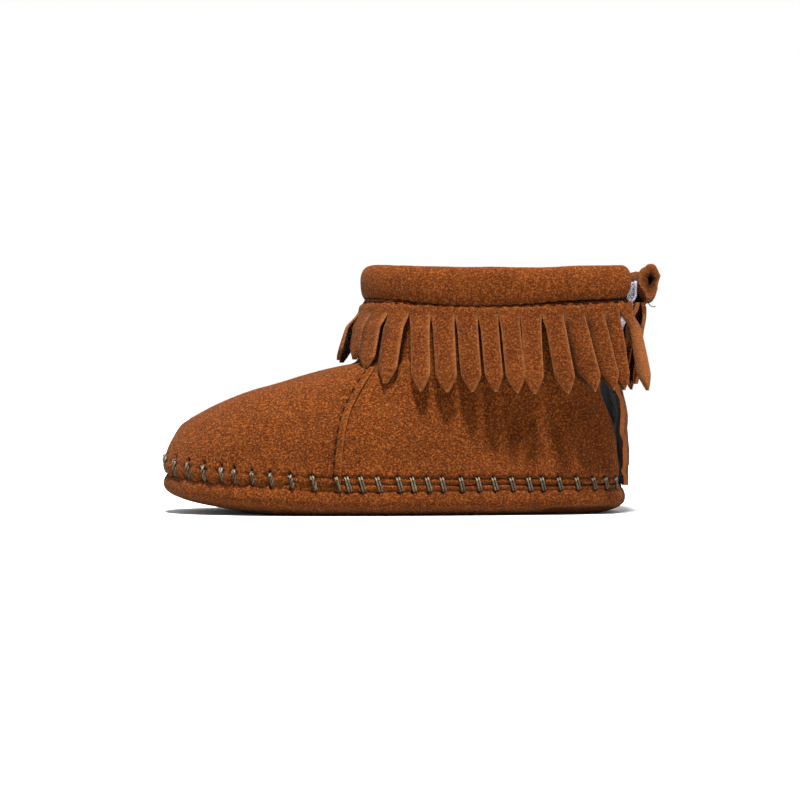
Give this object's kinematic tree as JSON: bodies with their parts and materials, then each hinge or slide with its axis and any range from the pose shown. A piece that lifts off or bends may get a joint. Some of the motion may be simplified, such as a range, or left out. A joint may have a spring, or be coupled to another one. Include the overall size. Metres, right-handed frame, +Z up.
{
  "type": "infant moccasin boot",
  "caption": "Soft-soled suede infant bootie in the moccasin style, with a padded roll collar, a fringe round the ankle and an open heel flap.",
  "frame": {"origin": "on the floor under the middle of the boot's box", "axes": "+X from the toe to the heel, +Z up; the boot stands on its sole"},
  "size_m": [0.1262, 0.0548, 0.0635],
  "materials": {
    "suede": "napped suede, cognac brown",
    "fringe_suede": "napped suede, cut edges",
    "bottom_suede": "napped suede, soft and stuffed",
    "padding": "plain woven cover over foam",
    "pile": "looped pile of a hook-and-loop patch",
    "thread": "waxed thread",
    "lining": "brushed lining"
  },
  "bodies": {
    "root": {"sole": "bottom_suede", "insole": "padding", "upper": "suede", "collar_roll": "suede", "collar_fringe": "fringe_suede", "heel_flap": "suede", "flap_roll": "suede", "flap_fringe": "fringe_suede", "patch_near": "pile", "patch_far": "pile", "flap_patch": "pile"}
  },
  "joints": []
}
